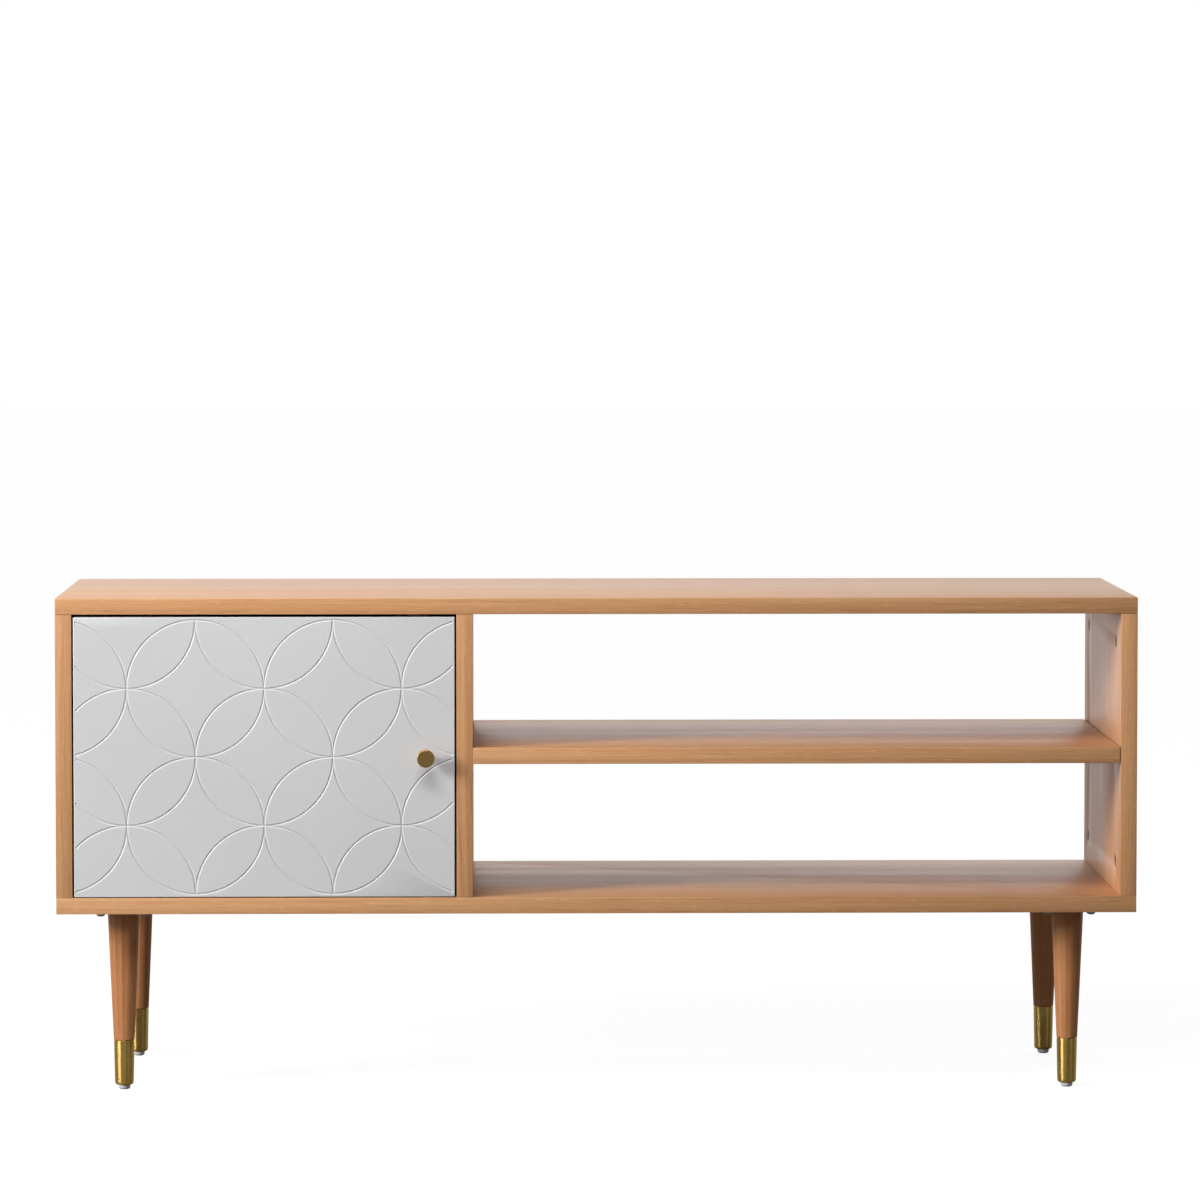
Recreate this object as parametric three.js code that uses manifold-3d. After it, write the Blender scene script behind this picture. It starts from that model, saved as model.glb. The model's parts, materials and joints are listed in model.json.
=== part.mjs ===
// A TV stand on four tapered legs: an open bay with a shelf, and a cupboard with one inset door.
// Millimetres, +Z up, +X to the right, the front faces -Y.
// Origin: on the floor, at the middle of the space that the stand fills, knob included.

import * as THREE from 'three';
import { mergeVertices } from 'three/addons/utils/BufferGeometryUtils.js';
import Module from 'manifold-3d';

const wasm = await Module();
wasm.setup();

// ---- Driving dimensions: carcass ----
const bodyWidth = 1200;
const bodyDepth = 400;
const bodyHeight = 351;
const board = 18;
const cupboardWidth = 426;
const shelfEndGap = 1;
const backThickness = 3;
const backInset = 10;
const grooveDepth = 5;

// ---- Driving dimensions: legs ----
const legLength = 195;
const legTopDiameter = 35.5;
const legSideInset = 71;
const legFrontInset = 60;
const ferruleHeight = 50.6;
const ferruleTopDiameter = 23.3;
const ferruleFootDiameter = 21;
const ferruleWall = 1;
const ferruleEdge = 3.2;
const glideDiameter = 13.4;
const glideHeight = 4.7;
const glideStemDiameter = 4;
const glideStemLength = 16;
const legPlateSize = 62;
const legPlateThickness = 2.5;
const legPlateCorner = 4;
const legPlateScrewEdge = 7;
const legPlateScrewHole = 5;
const legBossDiameter = 13;
const legBossHeight = 8;
const hangerBoltDiameter = 8;
const hangerBoltDepth = 38;

// ---- Driving dimensions: door ----
const doorThickness = 18;
const doorSideGap = 2;
const doorTopGap = 3;
const doorFloorGap = 1;
const grooveWidth = 2.5;
const grooveCut = 1;
const grooveEdge = 3.3;
const grooveSideEdge = 2.7;
const knobReach = 25;
const knobDiameter = 19.6;
const knobNeckDiameter = 9;
const knobHead = 10;
const knobEdge = 32;
const knobThread = 4;
const knobThreadDepth = 9;
const knobScrewHead = 8;
const knobScrewHeadHeight = 2.4;

// ---- Driving dimensions: hinges, with the plan's axis from the side panel and the front ----
const doorAxis = [10.5, 5];
const doorTravel = 95;
const linkTurnRatio = 0.24;
const hingeInset = 60;
const cupDiameter = 35;
const cupDepth = 12;
const cupWall = 0.8;
const cupEdge = 4;
const cupRim = 2;
const cupWingWidth = 12;
const cupPinFromRim = 6;
const flangeThickness = 1.2;
const cupScrewSpacing = 48;
const cupScrewOffset = 9;
const cupScrewShank = 3;
const cupScrewDepth = 11;
const cupScrewHead = 6.5;
const cupScrewHeadHeight = 1.8;
const hingePinDiameter = 3;
const linkWidth = 10;
const linkThickness = 2.2;
const linkEye = 0.9;
const linkDip = 2.3;
const armWall = 1.2;
const armBack = 14;
const armSideGap = 4;
const armCrankLength = 13;
const armWebReach = 7.4;
const armWebStart = 2.4;
const armLength = 54;
const hingePlateAt = 55;
const hingePlateScrewSpacing = 32;
const hingePlateScrewEdge = 7;
const hingePlateWidth = 16;
const hingePlateThickness = 3;
const plateScrewShank = 4;
const plateScrewDepth = 12;
const plateScrewHead = 7.2;
const plateScrewHeadHeight = 2;

// ---- Driving dimensions: fittings ----
const camDiameter = 14.4;
const camHeight = 12;
const camSlotLength = 8;
const camSlotWidth = 1.6;
const camSlotDepth = 2;
const camFromJoint = 34;
const camFrontInset = 57;
const camBackInset = 48;
const shelfPinDiameter = 5;
const shelfPinReach = 8;
const shelfPinDepth = 10;
const shelfPinInset = 70;
const catchWidth = 46;
const catchDepth = 14;
const catchHeight = 13;
const catchEarThickness = 2.5;
const catchFromDivider = 43;
const strikeWidth = 16;
const strikeHeight = 18;
const strikeTopGap = 2.5;
const strikeThickness = 1;

// ---- Clearances ----
const seat = 0.3;
const pinPlay = 0.2;
const slotPlay = 0.45;
const linkSidePlay = 2.3;
const linkFloorGap = 0.6;
const cupPinPlay = 0.4;
const armCupGap = 0.775;
const railPlay = 0.65;
const bossPlay = 0.5;
// How far a cutter runs past the face that it opens.
const past = 1;

// ---- Places that follow from the sizes ----
const leftX = -bodyWidth / 2;
const frontY = (knobReach - bodyDepth) / 2;
const backY = frontY + bodyDepth;
const footZ = glideHeight + seat;
const legTopZ = footZ + legLength;
const plateZ = legTopZ + seat;
const underZ = plateZ + legPlateThickness + seat;
const floorZ = underZ + board;
const topZ = underZ + bodyHeight;
const ceilingZ = topZ - board;
const cupboardX = leftX + board;
const dividerX = cupboardX + cupboardWidth;
const bayX = dividerX + board;
const bayEndX = leftX + bodyWidth - board;
const shelfZ = (floorZ + ceilingZ - board) / 2;
const doorX = cupboardX + doorSideGap;
const doorWidth = cupboardWidth - 2 * doorSideGap;
const doorZ = floorZ + doorFloorGap;
const doorHeight = ceilingZ - doorTopGap - doorZ;
const doorMiddleX = doorX + doorWidth / 2;
const doorMiddleZ = doorZ + doorHeight / 2;
const doorBackY = frontY + doorThickness;
const circleRadius = (doorHeight - 2 * grooveEdge) / 4;
const hingeZs = { lower: doorZ + hingeInset, upper: doorZ + doorHeight - hingeInset };
const knobX = doorX + doorWidth - knobEdge;
const cupX = doorX + cupEdge + cupDiameter / 2;

// The hinge pins in the plan: x from the side panel's inner face, y from the front.
// The link dips to just above the cup's floor, and the arm's nose stays inside the cup's mouth.
const armWidth = linkWidth + 2 * (linkSidePlay + armWall);
const armNose = hingePinDiameter / 2 + pinPlay + linkEye + seat + armWall;
const cupMouth = Math.sqrt((cupDiameter / 2 - cupWall) ** 2 - (armWidth / 2) ** 2);
const linkDepth = linkDip + linkThickness / 2 + linkFloorGap;
const cupPinAt = [doorSideGap + cupEdge + cupPinFromRim, doorThickness - cupDepth + cupWall + linkDepth];
const armPinAt = [doorSideGap + cupEdge + cupDiameter / 2 + cupMouth - armNose - armCupGap, doorThickness];

// ---- Shape helpers ----
function solidOf(geometry) {
  geometry.deleteAttribute('normal');
  geometry.deleteAttribute('uv');
  const merged = mergeVertices(geometry, 1e-5);
  const corners = merged.index.array;
  const faces = [];
  for (let i = 0; i < corners.length; i += 3) {
    const [a, b, c] = [corners[i], corners[i + 1], corners[i + 2]];
    if (a !== b && b !== c && c !== a) faces.push(a, b, c);
  }
  const vertProperties = new Float32Array(merged.attributes.position.array);
  const triVerts = new Uint32Array(faces);
  return new wasm.Manifold(new wasm.Mesh({ numProp: 3, vertProperties, triVerts }));
}

function geometryOf(solid) {
  const { vertProperties, triVerts } = solid.getMesh();
  const geometry = new THREE.BufferGeometry();
  geometry.setAttribute('position', new THREE.BufferAttribute(vertProperties, 3));
  geometry.setIndex(new THREE.BufferAttribute(triVerts, 1));
  geometry.computeVertexNormals();
  return geometry;
}

// A box from its low corner to its high corner.
function box([x0, y0, z0], [x1, y1, z1]) {
  const geometry = new THREE.BoxGeometry(x1 - x0, y1 - y0, z1 - z0);
  return solidOf(geometry.translate((x0 + x1) / 2, (y0 + y1) / 2, (z0 + z1) / 2));
}

// A turned piece: profile points are [radius, distance along axis], axis is 'x', 'y' or 'z'.
function turned(profile, axis, at, segments = 20) {
  const points = profile.map(([radius, along]) => new THREE.Vector2(radius, along));
  const geometry = new THREE.LatheGeometry(points, segments);
  if (axis === 'z') geometry.rotateX(Math.PI / 2);
  if (axis === 'x') geometry.rotateZ(-Math.PI / 2);
  return solidOf(geometry.translate(...at));
}

function rod(diameter, from, to, axis, at, segments = 12) {
  const radius = diameter / 2;
  return turned([[0, from], [radius, from], [radius, to], [0, to]], axis, at, segments);
}

// A plan outline of [x, y] points, raised from z0 to z1.
function raised(outline, z0, z1) {
  const shape = new THREE.Shape(outline.map(([x, y]) => new THREE.Vector2(x, y)));
  const geometry = new THREE.ExtrudeGeometry(shape, { depth: z1 - z0, bevelEnabled: false });
  return solidOf(geometry.translate(0, 0, z0));
}

// Points round an arc, angles in degrees.
function arc([x, y], radius, from, to, steps) {
  const points = [];
  for (let i = 0; i <= steps; i += 1) {
    const angle = THREE.MathUtils.degToRad(from + ((to - from) * i) / steps);
    points.push([x + radius * Math.cos(angle), y + radius * Math.sin(angle)]);
  }
  return points;
}

function joined(solids) {
  return solids.reduce((whole, solid) => whole.add(solid));
}

// ---- Materials ----
const looks = {
  oak: { color: 0xd3a582, roughness: 0.42, metalness: 0 },
  legWood: { color: 0xb07a52, roughness: 0.5, metalness: 0 },
  paint: { color: 0xc9c9c6, roughness: 0.55, metalness: 0 },
  backBoard: { color: 0xb9a48c, roughness: 0.75, metalness: 0 },
  brass: { color: 0xc9a24a, roughness: 0.28, metalness: 1 },
  steel: { color: 0x9a9a9c, roughness: 0.35, metalness: 1 },
  darkSteel: { color: 0x3c3a38, roughness: 0.45, metalness: 1 },
  glide: { color: 0xd9d8d4, roughness: 0.5, metalness: 0 },
  plastic: { color: 0xcfcbc2, roughness: 0.5, metalness: 0 },
};

const stand = new THREE.Group();

function place(name, look, solid) {
  const mesh = new THREE.Mesh(geometryOf(solid), new THREE.MeshStandardMaterial(looks[look]));
  mesh.name = name;
  stand.add(mesh);
}

// ---- Carcass ----
const backPanelLow = [cupboardX - grooveDepth, backY - backInset - backThickness, floorZ - grooveDepth];
const backPanelHigh = [dividerX + grooveDepth, backY - backInset, ceilingZ + grooveDepth];

function backGroove() {
  const low = backPanelLow.map((value) => value - seat);
  const high = backPanelHigh.map((value) => value + seat);
  return box(low, high);
}

// The two rows of places where cam locks pull the boards together.
const camYs = [frontY + camFrontInset, backY - camBackInset];
const camZs = [floorZ + camFromJoint, ceilingZ - camFromJoint];

// An upright between the top and bottom panels, with its cam recesses sunk into one face.
function upright(x, camFaceX, inward) {
  let solid = box([x, frontY, floorZ + seat], [x + board, backY, ceilingZ - seat]);
  for (const y of camYs) {
    for (const z of camZs) {
      const ends = inward > 0 ? [-past, camHeight + 2 * seat] : [-camHeight - 2 * seat, past];
      solid = solid.subtract(rod(camDiameter + 2 * seat, ...ends, 'x', [camFaceX, y, z], 16));
    }
  }
  return solid;
}

// The heights of the screws that hold the hinges' mounting plates to the left side panel.
function plateScrewZs() {
  return Object.values(hingeZs).flatMap((z) =>
    [z - hingePlateScrewSpacing / 2, z + hingePlateScrewSpacing / 2]);
}

function shelfPinPlaces() {
  const z = shelfZ - seat - shelfPinDiameter / 2;
  const ys = [frontY + shelfPinInset, backY - shelfPinInset];
  return ys.flatMap((y) => [
    { side: 'left', face: bayX, into: -1, y, z },
    { side: 'right', face: bayEndX, into: 1, y, z },
  ]);
}

function shelfPinHole({ face, into, y, z }) {
  const ends = [-past, shelfPinDepth + seat].map((value) => value * into);
  return rod(shelfPinDiameter + 2 * seat, Math.min(...ends), Math.max(...ends), 'x', [face, y, z]);
}

function legPlaces() {
  const xs = { left: leftX + legSideInset, right: leftX + bodyWidth - legSideInset };
  const ys = { front: frontY + legFrontInset, rear: backY - legFrontInset };
  return Object.entries(ys).flatMap(([row, y]) =>
    Object.entries(xs).map(([side, x]) => ({ name: `${row}_${side}`, x, y })));
}

function buildCarcass() {
  const pinPlaces = shelfPinPlaces();
  place('top_panel', 'oak',
    box([leftX, frontY, ceilingZ], [leftX + bodyWidth, backY, topZ]).subtract(backGroove()));

  let bottom = box([leftX, frontY, underZ], [leftX + bodyWidth, backY, floorZ]).subtract(backGroove());
  for (const { x, y } of legPlaces()) {
    bottom = bottom.subtract(rod(legBossDiameter + 2 * bossPlay, -past, legBossHeight + 2 * bossPlay,
      'z', [x, y, underZ], 16));
  }
  place('bottom_panel', 'oak', bottom);

  let left = upright(leftX, cupboardX, -1).subtract(backGroove());
  for (const z of plateScrewZs()) {
    const at = [cupboardX, frontY + hingePlateAt, z];
    left = left.subtract(rod(plateScrewShank + 2 * seat, -plateScrewDepth - seat, past, 'x', at));
  }
  place('left_side_panel', 'oak', left);

  let divider = upright(dividerX, dividerX, 1).subtract(backGroove());
  let right = upright(bayEndX, bayEndX, 1);
  for (const pin of pinPlaces) {
    if (pin.side === 'left') divider = divider.subtract(shelfPinHole(pin));
    if (pin.side === 'right') right = right.subtract(shelfPinHole(pin));
  }
  place('centre_divider', 'oak', divider);
  place('right_side_panel', 'oak', right);

  place('open_shelf', 'oak', box([bayX + shelfEndGap, frontY, shelfZ],
    [bayEndX - shelfEndGap, backY, shelfZ + board]));
  place('cupboard_back_panel', 'backBoard', box(backPanelLow, backPanelHigh));

  for (const pin of pinPlaces) {
    const row = pin.y < (frontY + backY) / 2 ? 'front' : 'rear';
    const ends = [-shelfPinReach, shelfPinDepth].map((value) => value * pin.into);
    place(`shelf_pin_${row}_${pin.side}`, 'steel',
      rod(shelfPinDiameter, Math.min(...ends), Math.max(...ends), 'x', [pin.face, pin.y, pin.z]));
  }
}

// Cam discs of the right panel, sunk just below its inner face, each with a screwdriver slot.
function buildCams() {
  camYs.forEach((y, row) => {
    camZs.forEach((z, level) => {
      const disc = rod(camDiameter, seat, camHeight + seat, 'x', [bayEndX, y, z], 16);
      const slot = box([bayEndX - past, y - camSlotLength / 2, z - camSlotWidth / 2],
        [bayEndX + seat + camSlotDepth, y + camSlotLength / 2, z + camSlotWidth / 2]);
      const name = `cam_lock_${['front', 'rear'][row]}_${['lower', 'upper'][level]}`;
      place(name, 'darkSteel', disc.subtract(slot));
    });
  });
}

// ---- Legs ----
const legTop = legTopDiameter / 2;
const ferruleTop = ferruleTopDiameter / 2;
const ferruleFoot = ferruleFootDiameter / 2;
const ferruleTopZ = footZ + ferruleHeight;
const stemTopZ = footZ + glideStemLength;

function woodLeg() {
  const inset = ferruleWall + seat;
  const tenonFootZ = footZ + ferruleWall + seat;
  return turned([
    [0, tenonFootZ],
    [ferruleFoot - inset - ferruleEdge / 2, tenonFootZ],
    [ferruleFoot - inset, tenonFootZ + ferruleEdge],
    [ferruleTop - inset, ferruleTopZ],
    [ferruleTop - inset, ferruleTopZ + seat],
    [ferruleTop, ferruleTopZ + seat],
    [legTop, legTopZ - 1],
    [legTop - 1, legTopZ],
    [0, legTopZ],
  ], 'z', [0, 0, 0])
    .subtract(rod(hangerBoltDiameter + 2 * seat, legTopZ - hangerBoltDepth - seat, legTopZ + past,
      'z', [0, 0, 0]))
    .subtract(rod(glideStemDiameter + 2 * seat, footZ - past, stemTopZ + seat, 'z', [0, 0, 0]));
}

function ferrule() {
  const corner = arc([ferruleFoot - ferruleEdge, footZ + ferruleEdge], ferruleEdge, -90, 0, 3);
  const hole = glideStemDiameter / 2 + seat;
  return turned([
    [hole, footZ],
    ...corner,
    [ferruleTop, ferruleTopZ],
    [ferruleTop - ferruleWall, ferruleTopZ],
    [ferruleFoot - ferruleWall, footZ + ferruleEdge],
    [ferruleFoot - ferruleWall - ferruleEdge / 2, footZ + ferruleWall],
    [hole, footZ + ferruleWall],
    [hole, footZ],
  ], 'z', [0, 0, 0]);
}

function glide() {
  const pad = glideDiameter / 2;
  const stem = glideStemDiameter / 2;
  return turned([
    [0, 0],
    [pad * 0.7, 0],
    [pad * 0.92, glideHeight * 0.2],
    [pad, glideHeight * 0.55],
    [pad, glideHeight],
    [stem, glideHeight],
    [stem, stemTopZ - 2],
    [0, stemTopZ],
  ], 'z', [0, 0, 0], 16);
}

function legPlate() {
  const half = legPlateSize / 2;
  const flat = half - legPlateCorner;
  const chamfered = [
    [-flat, -half], [flat, -half], [half, -flat], [half, flat],
    [flat, half], [-flat, half], [-half, flat], [-half, -flat],
  ];
  const top = plateZ + legPlateThickness;
  let plate = raised(chamfered, plateZ, top)
    .add(rod(legBossDiameter, plateZ + 0.5, top + legBossHeight, 'z', [0, 0, 0], 16))
    .subtract(rod(hangerBoltDiameter + 2 * seat, plateZ - past, top + legBossHeight + past,
      'z', [0, 0, 0]));
  const aside = half - legPlateScrewEdge;
  for (const x of [-aside, aside]) {
    for (const y of [-aside, aside]) {
      plate = plate.subtract(rod(legPlateScrewHole, plateZ - past, top + past, 'z', [x, y, 0], 8));
    }
  }
  return plate;
}

function buildLegs() {
  const boltTopZ = plateZ + legPlateThickness + legBossHeight - 1;
  const pieces = {
    leg: ['legWood', woodLeg()],
    ferrule: ['brass', ferrule()],
    glide: ['glide', glide()],
    leg_plate: ['steel', legPlate()],
    hanger_bolt: ['steel', rod(hangerBoltDiameter, legTopZ - hangerBoltDepth, boltTopZ, 'z', [0, 0, 0])],
  };
  for (const { name, x, y } of legPlaces()) {
    for (const [piece, [look, solid]] of Object.entries(pieces)) {
      place(`${name}_${piece}`, look, solid.translate([x, y, 0]));
    }
  }
}

// ---- Door ----
// A grid of overlapping circles, one radius apart on the diagonal, cut as a V groove.
function grooves() {
  const halfWidth = doorWidth / 2 - grooveSideEdge;
  const halfHeight = 2 * circleRadius + grooveWidth / 2;
  const columns = Math.ceil(halfWidth / circleRadius);
  const above = 0.5;
  const spread = (grooveWidth / 2) * (1 + above / grooveCut);
  const section = [
    [circleRadius - spread, -above],
    [circleRadius + spread, -above],
    [circleRadius, grooveCut],
    [circleRadius - spread, -above],
  ];
  const rings = [];
  for (let column = -columns; column <= columns; column += 1) {
    for (let row = -2; row <= 2; row += 1) {
      if ((column + row) % 2 !== 0) continue;
      const at = [doorMiddleX + column * circleRadius, frontY, doorMiddleZ + row * circleRadius];
      rings.push(turned(section, 'y', at, 28));
    }
  }
  const field = box([doorMiddleX - halfWidth, frontY - past, doorMiddleZ - halfHeight],
    [doorMiddleX + halfWidth, frontY + grooveCut + past, doorMiddleZ + halfHeight]);
  return joined(rings).intersect(field);
}

function doorPanel() {
  let panel = box([doorX, frontY, doorZ], [doorX + doorWidth, doorBackY, doorZ + doorHeight])
    .subtract(grooves())
    .subtract(rod(knobThread + 2 * seat, -past, doorThickness + past, 'y',
      [knobX, frontY, doorMiddleZ]));
  for (const z of Object.values(hingeZs)) {
    const cupAt = [cupX, doorBackY, z];
    panel = panel.subtract(rod(cupDiameter + 2 * seat, -cupDepth - seat, past, 'y', cupAt, 24));
    for (const side of [-1, 1]) {
      const at = [cupX + cupScrewOffset, doorBackY, z + (side * cupScrewSpacing) / 2];
      panel = panel.subtract(rod(cupScrewShank + 2 * seat, -cupScrewDepth - seat, past, 'y', at, 8));
    }
  }
  return panel;
}

function knob() {
  const head = knobDiameter / 2;
  const neck = knobNeckDiameter / 2;
  const at = [knobX, frontY, doorMiddleZ];
  return turned([
    [0, -knobReach],
    [head - 0.8, -knobReach],
    [head, -knobReach + 0.8],
    [head, -knobReach + knobHead - 1],
    [head - 1, -knobReach + knobHead],
    [neck, -knobReach + knobHead + 2],
    [neck, -3],
    [neck + 1.5, -seat],
    [0, -seat],
  ], 'y', at)
    .subtract(rod(knobThread + 2 * seat, -knobThreadDepth - seat, past, 'y', at));
}

// A pan-head screw along an axis, its head standing off the surface at the given place.
function screw(axis, at, shank, length, head, headHeight) {
  return turned([
    [0, -length],
    [shank / 2, -length],
    [shank / 2, seat],
    [head / 2, seat],
    [head / 2, seat + headHeight * 0.6],
    [head / 3, seat + headHeight],
    [0, seat + headHeight],
  ], axis, at, 10);
}

function buildDoor() {
  place('door_panel', 'paint', doorPanel());
  place('door_knob', 'brass', knob());
  place('knob_screw', 'steel', screw('y', [knobX, doorBackY, doorMiddleZ], knobThread,
    doorThickness + knobThreadDepth - 1, knobScrewHead, knobScrewHeadHeight));
}

// ---- Hinges ----
const planX = (x) => cupboardX + x;
const planY = (y) => frontY + y;

// Where the cup pin has moved to after the door has turned by an angle, in the plan.
function cupPinAfter(degrees) {
  const angle = THREE.MathUtils.degToRad(degrees);
  const [x, y] = [cupPinAt[0] - doorAxis[0], cupPinAt[1] - doorAxis[1]];
  return [
    doorAxis[0] + x * Math.cos(angle) + y * Math.sin(angle),
    doorAxis[1] - x * Math.sin(angle) + y * Math.cos(angle),
  ];
}

// The arm pin's path as the link sees it, so the link's slot holds that pin all the way.
function pinPathInLink() {
  const steps = 6;
  const path = [];
  for (let i = 0; i <= steps; i += 1) {
    const degrees = (doorTravel * i) / steps;
    const [cupPinX, cupPinY] = cupPinAfter(degrees);
    const back = THREE.MathUtils.degToRad(-degrees * linkTurnRatio);
    const [x, y] = [armPinAt[0] - cupPinX, armPinAt[1] - cupPinY];
    path.push([
      cupPinAt[0] + x * Math.cos(back) - y * Math.sin(back),
      cupPinAt[1] + x * Math.sin(back) + y * Math.cos(back),
    ]);
  }
  return path;
}

const toRoom = ([x, y]) => [planX(x), planY(y)];

// A goose-necked bar: a round hole on the cup pin, a bend that passes the cup's lip, and a slot
// on the arm pin.
function hingeLink(z) {
  const [low, high] = [z - linkWidth / 2, z + linkWidth / 2];
  const pinRadius = hingePinDiameter / 2;
  const disc = ([x, y], radius, grow = 0) =>
    rod(2 * radius, low - grow, high + grow, 'z', [planX(x), planY(y), 0], 12);
  const [cupPinX, cupPinY] = cupPinAt;
  const neckY = cupPinY - linkDip;
  const bend = [
    [cupPinX + 2, cupPinY - 1.6], [cupPinX + 5, neckY + 0.3], [cupPinX + 9.5, neckY],
    [cupPinX + 14, neckY + 2.4], [armPinAt[0] - 2, armPinAt[1] - 1.5], armPinAt,
  ];
  const curve = new THREE.CatmullRomCurve3(bend.map(([x, y]) => new THREE.Vector3(x, y, 0)));
  const half = linkThickness / 2;
  const upperEdge = [];
  const lowerEdge = [];
  const steps = 10;
  for (let i = 0; i <= steps; i += 1) {
    const point = curve.getPoint(i / steps);
    const along = curve.getTangent(i / steps);
    upperEdge.unshift([point.x - along.y * half, point.y + along.x * half]);
    lowerEdge.push([point.x + along.y * half, point.y - along.x * half]);
  }
  const strip = raised([...lowerEdge, ...upperEdge].map(toRoom), low, high);
  const path = pinPathInLink();
  const slotRadius = pinRadius + slotPlay;
  const eyes = path.map((point) => disc(point, slotRadius + linkEye));
  const slots = path.map((point) => disc(point, slotRadius, 1));
  return joined([strip, ...eyes, disc(cupPinAt, pinRadius + pinPlay + linkEye)])
    .subtract(joined(slots))
    .subtract(disc(cupPinAt, pinRadius + pinPlay, 1));
}

function hingeCup(z) {
  const outer = cupDiameter / 2;
  const inner = outer - cupWall;
  const body = turned([
    [0, -cupDepth],
    [outer, -cupDepth],
    [outer, seat],
    [outer + cupRim, seat],
    [outer + cupRim, seat + flangeThickness],
    [0, seat + flangeThickness],
  ], 'y', [cupX, doorBackY, z], 24);
  const wingX = cupX + cupScrewOffset;
  const wingReach = (cupScrewSpacing + cupWingWidth) / 2;
  const flangeBack = seat + flangeThickness;
  const wing = box([wingX - cupWingWidth / 2, doorBackY + seat, z - wingReach],
    [wingX + cupWingWidth / 2, doorBackY + flangeBack, z + wingReach]);
  const hollow = rod(2 * inner, cupWall - cupDepth, flangeBack + past, 'y', [cupX, doorBackY, z], 24);
  let cup = body.add(wing).subtract(hollow);
  for (const side of [-1, 1]) {
    const at = [wingX, doorBackY, z + (side * cupScrewSpacing) / 2];
    cup = cup.subtract(rod(cupScrewShank + 2 * seat, -past, flangeBack + past, 'y', at, 8));
  }
  return cup;
}

// Half the height of the cup's hollow where the cup pin crosses it.
function cupPinHalfLength() {
  const inner = cupDiameter / 2 - cupWall;
  const aside = cupX - planX(cupPinAt[0]);
  return Math.sqrt(inner ** 2 - (aside + hingePinDiameter / 2) ** 2) - cupPinPlay;
}

// The arm is a cranked channel: two cheeks that hold the arm pin, and a web along the side that
// faces into the cupboard, clear of the link's slotted end.
function hingeArm(z) {
  const [noseX, noseY] = armPinAt;
  const webX = noseX + armWebReach;
  const webY = noseY + armWebStart;
  const armEndY = hingePlateAt + armLength / 2;
  const crankEndY = hingePlateAt - armCrankLength - past;
  const outside = [
    ...arc(armPinAt, armNose, 215, 360, 6),
    [noseX + armNose, webY - 0.7],
    [webX, webY + 0.6],
    [webX, webY + 3.5],
    [armBack, crankEndY],
    [armBack, armEndY],
    [armSideGap, armEndY],
    [armSideGap, crankEndY - 2],
    [armSideGap + 3, crankEndY - 8],
  ];
  const inside = [
    [noseX - armNose - 6, noseY - armNose - 3],
    [webX + 1, noseY - armNose - 3],
    [webX + 1, webY],
    [webX - armWall, webY],
    [webX - armWall, webY + 3],
    [armBack - armWall, crankEndY - 0.6],
    [armBack - armWall, armEndY + past],
    [-past, armEndY + past],
    [-past, crankEndY - 12],
  ];
  const half = armWidth / 2;
  return raised(outside.map(toRoom), z - half, z + half)
    .subtract(raised(inside.map(toRoom), z - half + armWall, z + half - armWall))
    .subtract(rod(hingePinDiameter + 2 * pinPlay, z - half - past, z + half + past, 'z',
      [...toRoom(armPinAt), 0], 16));
}

function hingePlate(z) {
  const reach = hingePlateScrewSpacing / 2 + hingePlateScrewEdge;
  const half = hingePlateWidth / 2;
  const base = box([planX(seat), planY(hingePlateAt - half), z - reach],
    [planX(seat + hingePlateThickness), planY(hingePlateAt + half), z + reach]);
  const railHalf = armWidth / 2 - armWall - railPlay;
  const rail = box([planX(seat), planY(hingePlateAt - armLength / 4), z - railHalf],
    [planX(armBack - armWall - railPlay), planY(hingePlateAt + armLength / 3), z + railHalf]);
  let plate = base.add(rail);
  for (const side of [-1, 1]) {
    const at = [planX(0), planY(hingePlateAt), z + (side * hingePlateScrewSpacing) / 2];
    const end = seat + hingePlateThickness + past;
    plate = plate.subtract(rod(plateScrewShank + 2 * seat, -past, end, 'x', at));
  }
  return plate;
}

function buildHinges() {
  const pinHalf = armWidth / 2;
  const cupPinHalf = cupPinHalfLength();
  const flangeBackY = doorBackY + seat + flangeThickness;
  const plateFace = seat + hingePlateThickness;
  for (const [level, z] of Object.entries(hingeZs)) {
    place(`${level}_hinge_cup`, 'steel', hingeCup(z));
    place(`${level}_hinge_cup_pin`, 'steel',
      rod(hingePinDiameter, z - cupPinHalf, z + cupPinHalf, 'z', [...toRoom(cupPinAt), 0]));
    place(`${level}_hinge_link`, 'steel', hingeLink(z));
    place(`${level}_hinge_arm_pin`, 'steel',
      rod(hingePinDiameter, z - pinHalf, z + pinHalf, 'z', [...toRoom(armPinAt), 0]));
    place(`${level}_hinge_arm`, 'steel', hingeArm(z));
    place(`${level}_hinge_plate`, 'steel', hingePlate(z));
    for (const [end, side] of [['lower', -1], ['upper', 1]]) {
      const cupScrewZ = z + (side * cupScrewSpacing) / 2;
      const plateScrewZ = z + (side * hingePlateScrewSpacing) / 2;
      place(`${level}_hinge_cup_screw_${end}`, 'steel',
        screw('y', [cupX + cupScrewOffset, flangeBackY, cupScrewZ], cupScrewShank, cupScrewDepth,
          cupScrewHead, cupScrewHeadHeight));
      place(`${level}_hinge_plate_screw_${end}`, 'steel',
        screw('x', [planX(plateFace), planY(hingePlateAt), plateScrewZ], plateScrewShank,
          plateScrewDepth + plateFace, plateScrewHead, plateScrewHeadHeight));
    }
  }
}

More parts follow.
